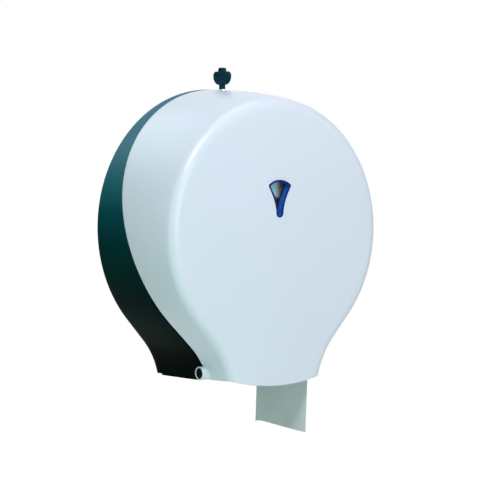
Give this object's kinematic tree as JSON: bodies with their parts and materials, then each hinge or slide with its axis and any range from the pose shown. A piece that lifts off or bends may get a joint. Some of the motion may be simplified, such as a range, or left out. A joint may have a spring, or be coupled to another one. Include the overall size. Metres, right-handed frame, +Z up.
{
  "type": "jumbo toilet roll dispenser",
  "caption": "Wall-hung round dispenser for a jumbo toilet roll: dark rear housing, white hinged cover with a viewing window, key lock on top, free-spinning roll and open outlet below.",
  "frame": {"origin": "centre of the wall screw pattern, on the wall plane; the roll spins about a line through it", "axes": "+X right as seen by the user, +Y into the wall, +Z up"},
  "size_m": [0.275, 0.1166, 0.3653],
  "materials": {
    "housing_plastic": "satin",
    "cover_plastic": "gloss",
    "window_plastic": "gloss",
    "ring_plastic": "satin",
    "key_plastic": "gloss",
    "hub_plastic": "satin",
    "nylon": "matte",
    "steel": "satin",
    "black_steel": "satin",
    "chrome": "polished",
    "cardboard": "matte",
    "paper": "matte"
  },
  "bodies": {
    "housing": {"rear_housing": "housing_plastic", "hinge_pin_left": "black_steel", "hinge_pin_right": "black_steel", "lock_catch": "steel", "catch_screws": "steel", "spindle": "hub_plastic", "spindle_screws": "steel", "friction_washer": "nylon", "retaining_washer": "steel", "end_screw": "steel", "tear_blade_left": "steel", "tear_blade_right": "steel", "blade_screws": "steel", "paper_tail": "paper"},
    "cover": {"front_cover": "cover_plastic", "window_lens": "window_plastic", "window_retainer": "ring_plastic", "lock_sleeve": "chrome", "lock_nut": "steel"},
    "lock": {"lock_plug": "chrome", "lock_cam": "steel", "cam_screw": "steel"},
    "key": {"key": "key_plastic"},
    "roll": {"core_hub": "hub_plastic", "roll_core": "cardboard", "paper_roll": "paper"}
  },
  "joints": [
    {"name": "cover_hinge", "type": "hinge", "parent": "housing", "child": "cover", "pos_m": [0, -0.078, -0.142], "axis": [1, 0, 0], "range_deg": [0, 100], "deforming": ["paper_tail"]},
    {"name": "lock_turn", "type": "hinge", "parent": "cover", "child": "lock", "pos_m": [0, -0.023, 0.13], "axis": [0, 0, 1], "range_deg": [0, 90]},
    {"name": "key_withdraw", "type": "slide", "parent": "lock", "child": "key", "axis": [0, 0, 1], "range_m": [0, 0.028]},
    {"name": "roll_spin", "type": "hinge", "parent": "housing", "child": "roll", "pos_m": [0, 0, 0], "axis": [0, 1, 0], "continuous": true}
  ]
}
